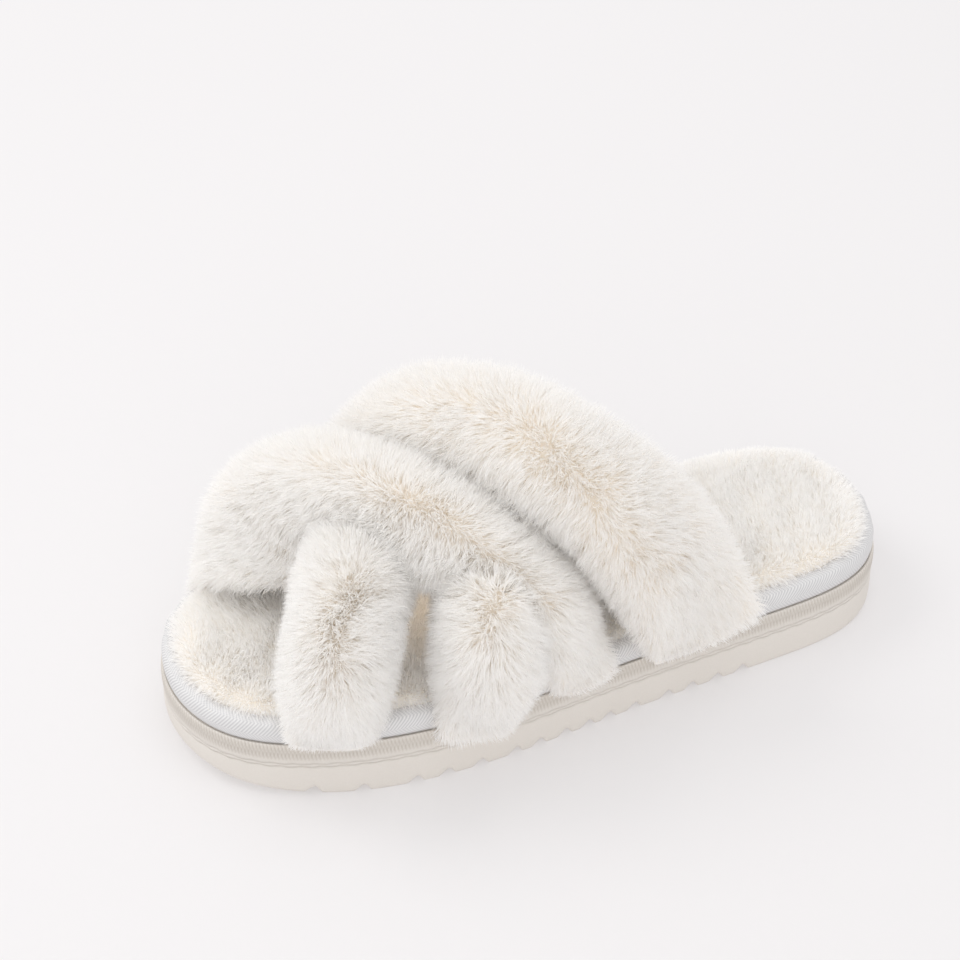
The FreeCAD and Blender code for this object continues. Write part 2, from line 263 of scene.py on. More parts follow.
def fur_material(name, root, middle, tip, tint, through):
    """Strands: UV x holds each strand's own tint, UV y runs from root to tip. through is the share of the
    shader that lets light on through the strand."""
    nodes = Nodes(name)
    place = nodes.add("ShaderNodeUVMap", uv_map="OFBake").outputs[0]
    parts = nodes.add("ShaderNodeSeparateXYZ", {0: place})
    # The roots' warmer colour is partly the pile's own tone and partly painted warm shade for the depths of
    # the pile.
    along = nodes.ramp(parts.outputs[1], [(0.0, root), (0.45, middle), (1.0, tip)])
    shade = nodes.ramp(parts.outputs[0], [(0.0, tint), (0.55, (1, 1, 1)), (1.0, (1, 0.995, 0.985))])
    colour = nodes.blend(1.0, along, shade, "MULTIPLY")
    solid = nodes.add("ShaderNodeBsdfPrincipled", {"Base Color": colour, "Roughness": 0.75,
                                                   "Specular IOR Level": 0.25, "Sheen Weight": 0.15})
    light = nodes.add("ShaderNodeBsdfTranslucent", {"Color": colour})
    both = nodes.add("ShaderNodeMixShader", {0: through, 1: solid.outputs[0], 2: light.outputs[0]})
    return nodes.output(both.outputs[0])


def grained_material(name, light, dark, scale, roughness, bump, painted_groove_shade=None):
    """Moulded or woven stock: two close colours in soft clouds, with a fine grain. The last argument is what
    the colour is multiplied by in the relief's grooves: painted shade."""
    nodes = Nodes(name)
    place = nodes.add("ShaderNodeTexCoord").outputs["Object"]
    clouds = nodes.add("ShaderNodeTexNoise", {"Vector": place, "Scale": 45.0, "Detail": 3.0})
    grain = nodes.add("ShaderNodeTexNoise", {"Vector": place, "Scale": scale, "Detail": 2.0})
    mixed = nodes.add("ShaderNodeMath", {0: clouds.outputs[0], 1: grain.outputs[0]}, operation="ADD")
    half = nodes.add("ShaderNodeMath", {0: mixed.outputs[0], 1: 0.5}, operation="MULTIPLY")
    colour = nodes.ramp(half.outputs[0], [(0.35, dark), (0.65, light)])
    # Painted shade: the colour is darkened in the relief's grooves, by the share that each point holds.
    if painted_groove_shade is not None:
        groove = nodes.add("ShaderNodeAttribute", attribute_name="painted_groove_shade").outputs["Fac"]
        colour = nodes.blend(groove, colour, nodes.blend(1.0, colour, (*painted_groove_shade, 1), "MULTIPLY"))
    relief = nodes.add("ShaderNodeBump", {"Height": grain.outputs[0], "Strength": bump, "Distance": 0.0002})
    shader = nodes.add("ShaderNodeBsdfPrincipled", {"Base Color": colour, "Roughness": roughness,
                                                    "Specular IOR Level": 0.3, "Normal": relief.outputs[0]})
    return nodes.output(shader.outputs[0])


# Both piles are warmer at the root: partly their own tone, partly painted warm shade in their depths.
STRAND = fur_material("strap_fur", root=(0.992, 0.970, 0.938), middle=(0.993, 0.988, 0.981),
                      tip=(0.996, 0.995, 0.994), tint=(0.996, 0.991, 0.984), through=0.50)
PLUSH = fur_material("footbed_plush_pile", root=(0.992, 0.982, 0.967), middle=(0.995, 0.991, 0.986),
                     tip=(0.998, 0.997, 0.996), tint=(0.998, 0.994, 0.988), through=0.50)
SKIN = grained_material("fur_backing", light=(0.990, 0.968, 0.930), dark=(0.984, 0.958, 0.915),
                        scale=900.0, roughness=0.9, bump=0.3)
# The rubber's and the tape's colours are multiplied by these darker colours in the grooves of their relief:
# painted shade.
RUBBER = grained_material("moulded_foam_rubber", light=(0.782, 0.742, 0.690), dark=(0.757, 0.714, 0.662),
                          scale=1400.0, roughness=0.62, bump=0.12, painted_groove_shade=(0.80, 0.77, 0.73))
COTTON = grained_material("binding_cotton", light=(0.885, 0.880, 0.877), dark=(0.850, 0.845, 0.842),
                          scale=1800.0, roughness=0.85, bump=0.2, painted_groove_shade=(0.68, 0.68, 0.69))
THREAD = grained_material("sewing_thread", light=(0.88, 0.88, 0.89), dark=(0.80, 0.80, 0.82),
                          scale=2500.0, roughness=0.6, bump=0.3)
FIBRE = grained_material("fibre_filling", light=(0.86, 0.85, 0.82), dark=(0.78, 0.76, 0.73),
                         scale=300.0, roughness=0.95, bump=0.6)
BOARD = grained_material("pressed_board", light=(0.55, 0.43, 0.30), dark=(0.42, 0.32, 0.22),
                         scale=700.0, roughness=0.9, bump=0.4)
FOAM = grained_material("soft_foam", light=(0.85, 0.82, 0.70), dark=(0.78, 0.74, 0.62),
                        scale=1200.0, roughness=0.95, bump=0.6)

# ---------------------------------------------------------------- outsole

# Where the notches of the tread lie: the first one's Y, then the steps from notch to notch to the heel.
FIRST_NOTCH = -93.0
LUG_STEPS = (16, 18, 11, 12, 13, 9, 10, 9, 8, 10, 13, 9.5, 10, 10)
NOTCH_DEPTH = 2.7
NOTCH_START, NOTCH_RISE = -4.6, 4.0     # where a notch starts on its toe side, and how long its rise is
NOTCH_END, NOTCH_FALL = 1.9, 2.2        # where it ends on its heel side, and how long its drop is


def tread_height(along):
    """How high the tread's underside stands above the lugs' soles at this Y: each notch rises in a long curve
    on its toe side and drops steeply on its heel side, so that the lugs overlap like shingles."""
    notches = FIRST_NOTCH + np.concatenate([[0], np.cumsum(LUG_STEPS)])
    height = np.zeros_like(along)
    for notch in notches:
        offset = along - notch
        rise = smooth((offset - NOTCH_START) / NOTCH_RISE)
        fall = smooth((NOTCH_END - offset) / NOTCH_FALL)
        height = np.maximum(height, np.minimum(rise, fall))
    return NOTCH_DEPTH * height


def rocker_height(along):
    """The toe spring and the heel's rounded edge: how high the tread curves up from the floor."""
    toe = np.clip((-SOLE_LENGTH / 2 + TOE_RUN - along) / TOE_RUN, 0, 1)
    heel = np.clip((along - SOLE_LENGTH / 2 + HEEL_RUN) / HEEL_RUN, 0, 1)
    return TOE_SPRING * toe ** 2 + HEEL_RISE * heel ** 2


RIB_PITCH = 1.25
RIB_HEIGHT = 0.6
RIB_SLANT = 0.28
COLUMNS_PER_RIB = 4
STITCH_HEIGHT, STITCH_LINE_HEIGHT = 13.4, 14.7     # the moulded stitch, and the finer line above it
STITCH_SWING, STITCH_WAVE, STITCH_PHASE = 0.22, 7.0, 2.2
# The half height of the band round the mock stitches, and the inset at which painted shade starts in their
# grooves, full at twice it.
STITCH_ZONE, STITCH_SHADE = 1.5, 0.6
WALL_TOP_DROP = 1.1
GAP_BOW, GAP_BOW_WIDTH = 2.5, 7.0

# Rows of the skin, from the seat out over the rand's lip and down it: inset from the edge, height above the
# seat, and share of the ribs' depth.
RAND_ROWS = [(9.0, 0.0, 0), (2.6, -0.1, 0), (2.0, -0.9, 0), (1.6, -0.9, 0), (1.15, -0.15, 0),
             (0.75, 0.1, 0.3), (0.35, -0.4, 0.8), (0.1, -1.3, 1), (0.0, -2.6, 1), (0.0, -4.4, 1),
             (0.1, -5.8, 0.7), (0.3, -7.0, 0.15)]
SPINE_TOE, SPINE_HEEL = 45.0, 38.0


def spine_under(along):
    """The middle line of the sole at each Y, which stops short of the toe and the heel."""
    inside = np.clip(along, -SOLE_LENGTH / 2 + SPINE_TOE, SOLE_LENGTH / 2 - SPINE_HEEL)
    return np.column_stack([np.zeros(len(along)), inside])


def make_outsole():
    """The moulded unit in one skin: seat, rounded ribbed rand, wavy mock stitch, plain wall, notched tread."""
    columns = int(round(EDGE_LENGTH / RIB_PITCH)) * COLUMNS_PER_RIB
    edge, normal, distance, length = outline(columns)
    ribs = round(length / RIB_PITCH)
    turn = distance / length * 2 * math.pi
    waves = round(length / STITCH_WAVE)
    stitch = STITCH_HEIGHT + STITCH_SWING * np.sin(turn * waves)
    line = STITCH_LINE_HEIGHT + STITCH_SWING * np.sin(turn * waves + STITCH_PHASE)
    wall_top = stitch - WALL_TOP_DROP
    bottom = rocker_height(edge[:, 1]) + tread_height(edge[:, 1])

    # (inset, height, share of the ribs) of each row round the sole
    levels = [(inset, np.full(columns, SEAT + rise), share) for inset, rise, share in RAND_ROWS]
    levels += [(inset, line + rise, 0) for inset, rise in ((0.3, 0.3), (0.95, 0.0), (0.3, -0.3))]
    levels += [(inset, stitch + rise, 0) for inset, rise in ((0.3, 0.35), (1.15, 0.0), (0.35, -0.35))]
    levels.append((0.3, wall_top, 0))
    for share, inset in ((0.35, 0.2), (0.7, 0.25), (0.88, 0.4)):
        levels.append((inset, wall_top + (bottom - wall_top) * share, 0))
    levels += [(0.75, bottom + 0.35, 0), (1.4, bottom, 0)]

    points, painted_groove_shade = [], []
    middle = (STITCH_HEIGHT + STITCH_LINE_HEIGHT) / 2
    for inset, height, share in levels:
        slanted = turn * ribs / 2 + math.pi * (height - SEAT) * RIB_SLANT / RIB_PITCH
        valley = share * (1 - np.abs(np.cos(slanted)))
        flat = edge - normal * (valley * RIB_HEIGHT + inset)[:, None]
        points.append(np.column_stack([flat, height]))
        # Painted shade: the colour darkens in the ribs' valleys and in the mock stitches' grooves.
        groove = np.clip(inset / STITCH_SHADE - 1, 0, 1) * (np.abs(height - middle) < STITCH_ZONE)
        painted_groove_shade.append(np.maximum(valley, groove))

    rim = points[-1]
    spine = spine_under(rim[:, 1])
    for share in (0.06, 0.14, 0.26, 0.42, 0.6, 0.8, 1.0):
        flat = rim[:, :2] * (1 - share) + spine * share
        bow = GAP_BOW * (np.cos(flat[:, 0] / GAP_BOW_WIDTH) - 1) * smooth(share * 6)
        notch = tread_height(flat[:, 1] + bow)
        points.append(np.column_stack([flat, rocker_height(flat[:, 1]) + notch]))
        # Painted shade in the tread's notches, deepest where a notch is deepest.
        painted_groove_shade.append(notch / NOTCH_DEPTH * 0.8)

    rows = len(points)
    across = np.tile(np.arange(columns) / columns, rows)
    down = np.repeat(np.linspace(0.02, 0.98, rows), columns)
    piece = make_mesh("outsole_moulding", np.concatenate(points), grid_faces(rows, columns)[:, ::-1],
                      np.stack([across, down], 1), np.concatenate(painted_groove_shade))
    finish_piece(piece, RUBBER, "outsole_rubber", "outsole")


# ---------------------------------------------------------------- binding tape and its seam

TWILL_PITCH = 1.25
TWILL_RELIEF = 0.16
TWILL_BAND = 4.4
TWILL_SLOPE = 0.75
TAPE_COLUMNS, TAPE_ROWS = 2240, 30
RIPPLE_FROM, RIPPLE_RUN = 5.0, 4.0

# The tape's section, from under the seat up round the edge to its inner hem: inset and height.
TAPE_SECTION = [(2.0, 22.4), (1.4, 23.2), (1.0, 24.6), (0.75, 26.4), (0.8, 28.4), (1.2, 30.2), (2.4, 31.5),
                (4.2, 32.0), (5.8, 31.5), (6.6, 30.4)]


def twill(distance, up, length):
    """How deep a herringbone twill dips: diagonal ribs that change direction in bands."""
    band = math.floor(up / TWILL_BAND)
    slope = TWILL_SLOPE if band % 2 == 0 else -TWILL_SLOPE
    ribs = distance / length * round(length / TWILL_PITCH)
    phase = 2 * math.pi * (ribs + slope * (up - TWILL_BAND * band) / TWILL_PITCH)
    return 0.5 - 0.5 * np.cos(phase)


def make_tape():
    """The tape wrapped round the footbed's edge, with the twill's relief and a slight ripple to its hem."""
    edge, normal, distance, length = outline(TAPE_COLUMNS)
    corners = np.array(TAPE_SECTION)
    run = np.concatenate([[0], np.cumsum(np.linalg.norm(np.diff(corners, axis=0), axis=1))])
    ups = np.linspace(0, run[-1], TAPE_ROWS)
    inset = np.interp(ups, run, corners[:, 0])
    height = np.interp(ups, run, corners[:, 1])
    for _ in range(3):
        inset[1:-1] = (inset[:-2] + 2 * inset[1:-1] + inset[2:]) / 4
        height[1:-1] = (height[:-2] + 2 * height[1:-1] + height[2:]) / 4
    lean = unit(np.stack([np.gradient(height), np.gradient(inset)], 1))
    turn = distance / length * 2 * math.pi
    ripple = 0.22 * np.sin(turn * 41) + 0.15 * np.sin(turn * 67)
    points, painted_groove_shade = [], []
    for up, inward, level, (out, rise) in zip(ups, inset, height, lean):
        dip = twill(distance, up, length)
        # Painted shade: the material darkens the twill's dips.
        painted_groove_shade.append(dip)
        relief = -TWILL_RELIEF * dip + ripple * smooth((up - RIPPLE_FROM) / RIPPLE_RUN)
        flat = edge + normal * (relief * out - inward)[:, None]
        points.append(np.column_stack([flat, level + relief * rise]))
    across = np.tile(distance / length, TAPE_ROWS)
    down = np.repeat(ups / ups[-1], TAPE_COLUMNS)
    piece = make_mesh("binding_tape_twill", np.concatenate(points), grid_faces(TAPE_ROWS, TAPE_COLUMNS),
                      np.stack([across, down], 1), np.concatenate(painted_groove_shade))
    finish_piece(piece, COTTON, "tape", "binding_tape")


STITCH_PITCH, STITCH_HALF, THREAD_RADIUS = 3.2, 1.25, 0.26
STITCH_INSET, STITCH_RISE, STITCH_SINK = 5.0, 0.55, 0.25


def make_seam():
    """The stitches that hold the tape to the footbed: short thread loops sunk into its upper hem."""
    count = int(EDGE_LENGTH / STITCH_PITCH)
    edge, normal, _, _ = outline(count)
    along = np.stack([-normal[:, 1], normal[:, 0]], 1)
    steps = np.linspace(-1, 1, 7)
    ring = np.linspace(0, 2 * math.pi, 6, endpoint=False)
    points = np.empty((count, len(steps), len(ring), 3))
    for number, step in enumerate(steps):
        thick = THREAD_RADIUS * math.sqrt(max(1 - step ** 2, 0.03))
        centre = edge - normal * STITCH_INSET + along * (step * STITCH_HALF)
        height = TAPE_TOP + STITCH_RISE - STITCH_SINK * step ** 2
        for corner, angle in enumerate(ring):
            points[:, number, corner, :2] = centre + normal * (thick * math.cos(angle))
            points[:, number, corner, 2] = height + thick * math.sin(angle)
    one = grid_faces(len(steps), len(ring))
    size = len(steps) * len(ring)
    faces = (one[None] + np.arange(count)[:, None, None] * size).reshape(-1, 4)
    uv = np.stack([np.repeat(steps * 0.4 + 0.5, len(ring)), np.tile(ring / 7, len(steps))], 1)
    piece = make_mesh("binding_seam", points.reshape(-1, 3), faces, np.tile(uv, (count, 1)))
    finish_piece(piece, THREAD, "thread", "binding_stitches")


# ---------------------------------------------------------------- strap sleeves

END_DEPTH = 2.4                    # half the sleeve's thickness at its ends
WALL = 1.8                         # from the sleeve in to the stuffing
END_FROM, END_RUN = 0.02, 0.17     # where along the strap its ends swell to the full thickness
ROUNDNESS = 2.15                   # exponent of the strap's section
PLUMPING = 0.045                   # how much the strap swells and narrows along its way
PRESS_GAP = 1.6                    # from an upper strap's underside to the strap that it presses down


def strap_line(strap, turn):
    """The strap's centreline: turn runs from 0 at the lateral end to 1 at the medial end."""
    facts = STRAPS[strap]
    lateral_y, medial_y = facts["ends"]
    lateral = edge_at(lateral_y, 1)[0][0] + STANDOFF
    medial = edge_at(medial_y, -1)[0][0] - STANDOFF
    angle = math.pi * turn
    cosine, sine = np.cos(angle), np.abs(np.sin(angle))
    reach = np.sign(cosine) * np.abs(cosine) ** (2 / SQUARENESS)
    across = (lateral + medial) / 2 + (lateral - medial) / 2 * reach
    drift = 0.25 * (1 - cosine) + 0.5 * turn
    along = lateral_y + (medial_y - lateral_y) * drift + facts["bow"] * sine
    foot = facts["feet"][0] + (facts["feet"][1] - facts["feet"][0]) * turn
    return np.stack([across, along, foot + (facts["crest"] - foot) * sine ** (2 / SQUARENESS)], -1)


def strap_axes(strap, turn):
    """Unit vectors across the strap, outward through it and along it."""
    step = 0.004
    before = strap_line(strap, np.maximum(turn - step, 0))
    after = strap_line(strap, np.minimum(turn + step, 1))
    along = unit(after - before)
    lateral_y, medial_y = STRAPS[strap]["ends"]
    lateral_rim = np.append(edge_at(lateral_y, 1)[1], 0)
    medial_rim = np.append(edge_at(medial_y, -1)[1], 0)
    rim = np.where(turn[:, None] < 0.5, lateral_rim, medial_rim)
    ends = strap_line(strap, np.array([0.0, 1.0]))
    square = unit(np.array([ends[0, 1] - ends[1, 1], ends[1, 0] - ends[0, 0], 0]))
    square = square * np.sign(square[1])
    share = np.sin(math.pi * turn)[:, None]
    across = rim * (1 - share) + square * share
    across = unit(across - along * (across * along).sum(1, keepdims=True))
    return across, -np.cross(along, across), along


def profile(strap, name, turn):
    """A value that is given at five even places along the strap, eased between them."""
    values = np.array(STRAPS[strap][name], float)
    place = np.clip(turn, 0, 1) * (len(values) - 1)
    before = np.minimum(place.astype(int), len(values) - 2)
    share = smooth(place - before)
    return values[before] * (1 - share) + values[before + 1] * share


def half_width(strap, turn, side):
    """The half width on the heel side (side > 0) or the toe side."""
    return np.where(side > 0, profile(strap, "heel_half", turn), profile(strap, "toe_half", turn))


def half_depth(strap, turn):
    """Half the sleeve's thickness, which swells from the flat ends."""
    away = smooth((np.minimum(turn, 1 - turn) - END_FROM) / END_RUN)
    return END_DEPTH * (1 - away) + STRAPS[strap]["depth"] * away


def sag(strap, turn, share):
    """How far the section bends inward there: share is the place across it, -1 at the toe side's edge."""
    return profile(strap, "droop", turn) * np.clip(-share, 0, 1.3) ** 2


def strap_place(points, strap, growth):
    """Where points lie about a strap grown all round: the outward vector at the nearest place along it, the
    share across its half width, the height above its bent middle, and its half thickness there."""
    turns = np.linspace(0, 1, 200)
    centre = strap_line(strap, turns)
    across, outward, _ = strap_axes(strap, turns)
    deep = half_depth(strap, turns) + growth
    nearest = np.empty(len(points), int)
    for start in range(0, len(points), 10000):
        part = points[start:start + 10000]
        nearest[start:start + 10000] = np.argmin(((part[:, None] - centre[None]) ** 2).sum(2), 1)
    offset = points - centre[nearest]
    side = (offset * across[nearest]).sum(1)
    share = side / (half_width(strap, turns[nearest], side) + growth)
    height = (offset * outward[nearest]).sum(1) + sag(strap, turns[nearest], share)
    return outward[nearest], share, height, deep[nearest]


def press_down(points, strap, growth):
    """Moves points that lie in an upper strap's space down to its underside."""
    outward, share, height, deep = strap_place(points, strap, growth)
    underside = -deep * (1 - np.clip(np.abs(share), 0, 1) ** ROUNDNESS) ** (1 / ROUNDNESS)
    excess = np.where(np.abs(share) < 1, np.maximum(height - underside, 0), 0)
    return points - outward * excess[:, None]


def inside_strap(points, strap, growth):
    """True where points lie within the strap's sleeve, grown all round."""
    _, share, height, deep = strap_place(points, strap, growth)
    return share ** 2 + (height / deep) ** 2 < 1


def sleeve_grid(strap, rows, columns, growth=0.0):
    """The sleeve's surface as a grid, rows along the strap and columns round it from its heel-side edge, and
    the rows' turns."""
    turns = np.linspace(0, 1, rows)
    angles = np.linspace(0, 2 * math.pi, columns, endpoint=False)
    centre = strap_line(strap, turns)
    across, outward, _ = strap_axes(strap, turns)
    cosine, sine = np.cos(angles), np.sin(angles)
    side = np.sign(cosine) * np.abs(cosine) ** (2 / ROUNDNESS)
    height = np.sign(sine) * np.abs(sine) ** (2 / ROUNDNESS)
    plump = (1 + PLUMPING * np.sin(turns * 19 + len(strap)) * np.sin(turns * 7 + 1.3))[:, None]
    place = np.broadcast_to(turns[:, None], (rows, columns))
    wide = (half_width(strap, place, side[None]) + growth) * plump * side
    deep = (half_depth(strap, turns)[:, None] + growth) * plump * height
    deep += profile(strap, "puff", turns)[:, None] * np.maximum(height, 0)
    deep -= sag(strap, place, side[None])
    points = centre[:, None] + across[:, None] * wide[:, :, None] + outward[:, None] * deep[:, :, None]
    flat = points.reshape(-1, 3)
    for upper in STRAPS[strap]["pressed_by"]:
        flat = press_down(flat, upper, PRESS_GAP - growth)
    return flat.reshape(rows, columns, 3), turns


def grid_normals(grid):
    """Outward normals of a tube's grid."""
    along = np.gradient(grid, axis=0)
    round_it = np.roll(grid, -1, 1) - np.roll(grid, 1, 1)
    return unit(np.cross(along, round_it))


def make_tube(name, strap, growth, material, slot, node):
    """A closed tube of the strap's shape, grown all round."""
    rows, columns = 120, 64
    grid, turns = sleeve_grid(strap, rows, columns, growth)
    caps = [np.repeat([grid[end].mean(0)], columns, 0) for end in (0, -1)]
    points = np.concatenate([grid.reshape(-1, 3), *caps])
    column = np.arange(columns)
    after = (column + 1) % columns
    last, first_cap, last_cap = (row * columns for row in (rows - 1, rows, rows + 1))
    first = np.stack([column, first_cap + column, first_cap + after, after], 1)
    end = np.stack([last + after, last_cap + after, last_cap + column, last + column], 1)
    faces = np.concatenate([grid_faces(rows, columns), first, end])[:, ::-1]
    down = np.concatenate([np.repeat(0.05 + 0.9 * turns, columns), np.zeros(columns), np.ones(columns)])
    piece = make_mesh(name, points, faces, np.stack([np.tile(column / columns, rows + 2), down], 1))
    finish_piece(piece, material, slot, node)


TAB_REACH, TAB_THICKNESS, TAB_MARGIN = 24.0, 1.5, 3.0
TAB_ROWS, TAB_COLUMNS = 8, 12
TAB_TAPER, TAB_TAPER_RUN = 0.12, 6.0
UV_SPAN = 300.0      # wider than the sole is long, so that a flat piece fits on its sheet


def make_tabs(strap):
    """The two flat ends of the strap's backing, lasted under the edge of the footbed."""
    points, faces = [], []
    size = TAB_ROWS * TAB_COLUMNS
    sheet = grid_faces(TAB_ROWS, TAB_COLUMNS, closed=False)
    near = np.arange(TAB_COLUMNS)
    right = np.arange(1, TAB_ROWS) * TAB_COLUMNS + TAB_COLUMNS - 1
    left = np.arange(TAB_ROWS - 2, 0, -1) * TAB_COLUMNS
    rim = np.concatenate([near, right, size - TAB_COLUMNS + near[-2::-1], left])
    after = np.roll(rim, -1)
    for end, side in ((0, 1), (-1, -1)):
        base = len(points) * TAB_COLUMNS
        root, heelward = edge_at(STRAPS[strap]["ends"][end], side)
        outward = np.array([heelward[1], -heelward[0]]) * side
        half = (STRAPS[strap]["toe_half"][end] + STRAPS[strap]["heel_half"][end]) / 2 - TAB_MARGIN
        across = np.linspace(-half, half, TAB_COLUMNS)
        for level in (SEAT - TAB_THICKNESS, SEAT - 0.05):
            for step in np.linspace(1.0, TAB_REACH, TAB_ROWS):
                taper = TAB_TAPER * smooth((step - TAB_REACH) / TAB_TAPER_RUN + 1)
                narrow = across * (1 - taper)
                flat = root - outward * step + heelward * narrow[:, None]
                points.append(np.column_stack([flat, np.full(TAB_COLUMNS, level)]))
        walls = np.stack([rim, after, after + size, rim + size], 1)
        faces += [sheet[:, ::-1] + base, sheet + base + size, walls + base]
    skin = np.concatenate(points)
    piece = make_mesh(strap + "_backing_tabs", skin, np.concatenate(faces), skin[:, :2] / UV_SPAN + 0.5)
    finish_piece(piece, SKIN, "backing", strap + "_tabs")


# ---------------------------------------------------------------- pile


def field(points, scale, seed):
    """A smooth random vector field: a few sine waves in random directions."""
    random = np.random.default_rng(seed)
    total = np.zeros_like(points)
    for _ in range(6):
        wave = random.normal(size=3) / scale
        phase = random.uniform(0, 2 * math.pi, 3)
        turn = random.normal(size=3)
        total += np.sin((points @ wave)[:, None] * 2 + phase) * turn
    return total / 3


def clumped(roots, spacing, random):
    """For each root, the number of the nearest clump centre, and the centres."""
    count = max(int(len(roots) / spacing), 8)
    centres = random.choice(len(roots), count, replace=False)
    tree = kdtree.KDTree(count)
    for number, root in enumerate(roots[centres]):
        tree.insert(root, number)
    tree.balance()
    nearest = np.fromiter((tree.find(root)[1] for root in roots), np.int64, len(roots))
    return nearest, centres


STATIONS = np.array([0.0, 0.38, 0.72, 1.0])     # where a strand has points, from its root to its tip
TAPER = np.array([1.45, 1.15, 0.62])            # its width at each of them but the tip
STRAND_POINTS = 7
STRAND_FACES = np.array([(0, 1, 3), (0, 3, 2), (2, 3, 5), (2, 5, 4), (4, 5, 6)])
TOUSLE, ROOT_NOISE, TIP_NOISE = 0.06, 0.12, 0.20


def strands(roots, normals, lean, length, width, clump, gather, random, tip_floor=None):
    """Points, triangles and UVs of tapered strands. Each one leaves its root near its normal, and curves
    over towards lean. The strands of a clump draw together at their tips. No tip hangs far below tip_floor."""
    number = len(roots)
    nearest, centres = clumped(roots, clump, random)
    tousle = random.normal(size=(len(centres), 3))[nearest] * TOUSLE
    start = unit(normals + lean * 0.45 + tousle * 0.5 + random.normal(size=roots.shape) * ROOT_NOISE)
    end = unit(normals * 0.62 + lean * 1.15 + tousle + random.normal(size=roots.shape) * TIP_NOISE)
    reach = (length * random.uniform(0.72, 1.08, number))[:, None]
    middle = roots + start * reach * 0.5
    tip = middle + end * reach * 0.5
    heart = centres[nearest]
    shorter = random.uniform(0.9, 1.05, len(centres))[nearest][:, None]
    away = (tip[heart] - tip) * gather
    tip = roots + (tip + away - roots) * shorter
    middle = middle + away * 0.3
    if tip_floor is not None:
        drop = np.maximum(tip_floor - tip[:, 2], 0)
        tip[:, 2] += drop * 0.92
        middle[:, 2] = np.maximum(middle[:, 2], tip_floor - 0.5)
    share = STATIONS[None, :, None]
    line = ((1 - share) ** 2 * roots[:, None] + 2 * share * (1 - share) * middle[:, None]
            + share ** 2 * tip[:, None])
    heading = unit(tip - roots)
    side = unit(np.cross(heading, normals) + random.normal(size=roots.shape) * 0.35)
    side = unit(side - heading * (side * heading).sum(1, keepdims=True))
    half = (width * random.uniform(0.75, 1.25, number))[:, None, None] / 2 * TAPER[None, :, None]
    points = np.empty((number, STRAND_POINTS, 3))
    points[:, 0:6:2] = line[:, :3] - side[:, None] * half
    points[:, 1:6:2] = line[:, :3] + side[:, None] * half
    points[:, 6] = line[:, 3]
    faces = (STRAND_FACES[None] + np.arange(number)[:, None, None] * STRAND_POINTS).reshape(-1, 3)
    tint = random.beta(3, 2, number) * 0.75 + random.uniform(0, 0.25, len(centres))[nearest]
    uv = np.empty((number, STRAND_POINTS, 2))
    uv[:, :, 0] = np.clip(tint, 0.01, 0.99)[:, None]
    uv[:, :, 1] = np.clip(np.repeat(STATIONS, 2)[:STRAND_POINTS], 0.01, 0.99)
    return points.reshape(-1, 3), faces, uv.reshape(-1, 2)


PILE_TRIANGLES = 195000


def make_pile(name, roots, normals, lean, length, width, material, clump, gather, seed, tip_floor=None):
    """Grows the strands, in as many pieces as keep each under PILE_TRIANGLES."""
    random = np.random.default_rng(seed)
    parts = max(1, math.ceil(len(roots) * len(STRAND_FACES) / PILE_TRIANGLES))
    order = np.argsort(roots @ np.array([-0.6, 0.8, 0.1]))
    for number, chosen in enumerate(np.array_split(order, parts)):
        lowest = None if tip_floor is None else tip_floor[chosen]
        points, faces, uv = strands(roots[chosen], normals[chosen], lean[chosen], length[chosen], width,
                                    clump, gather, random, lowest)
        finish_piece(make_mesh("%s_%d" % (name, number + 1), points, faces, uv), material, "fur")


def scatter(grid, normals, count, random):
    """Random roots on a tube's grid, even over its area, with their normals, their shares of the way along
    the tube and their shares of the way round it."""
    rows, columns = grid.shape[:2]
    right, down = np.roll(grid, -1, 1)[:-1], grid[1:]
    area = np.linalg.norm(np.cross(right - grid[:-1], down - grid[:-1]), axis=2)
    chance = np.cumsum(area.ravel())
    cell = np.searchsorted(chance, random.uniform(0, chance[-1], count))
    row, column = np.divmod(np.minimum(cell, area.size - 1), columns)
    u, v = random.uniform(size=(2, count, 1))
    after = (column + 1) % columns

    def between(values):
        """The values at the roots, from the four corners of their cells."""
        return ((values[row, column] * (1 - u) + values[row, after] * u) * (1 - v)
                + (values[row + 1, column] * (1 - u) + values[row + 1, after] * u) * v)

    return between(grid), unit(between(normals)), (row + v[:, 0]) / (rows - 1), (column + u[:, 0]) / columns


DENSITY = 1.0
STRAP_TRIES = 97500                # roots tried on each sleeve, before those inside other pieces are left out
FUR_LENGTH, FUR_WIDTH = 9.6, 0.27
FUR_CLUMP, FUR_GATHER = 10, 0.07   # strands in a clump, and how far its tips draw together
PART_LEAN, HANG_LEAN, END_HANG = 0.11, 0.30, 0.5
INNER_CUT, END_CUT = 0.35, 0.30    # how much shorter the pile is on the foot's side and at the ends
MEDIAL_HEM = 26.0
ROOT_CLEARANCE = 0.6               # between a strand's root and the other straps' sleeves
LOW_ROOTS = TAPE_TOP + 3.0         # over the footbed, strands start above this height
END_SHARE = 0.16
DOWN = np.array([0.0, 0.0, -1.0])


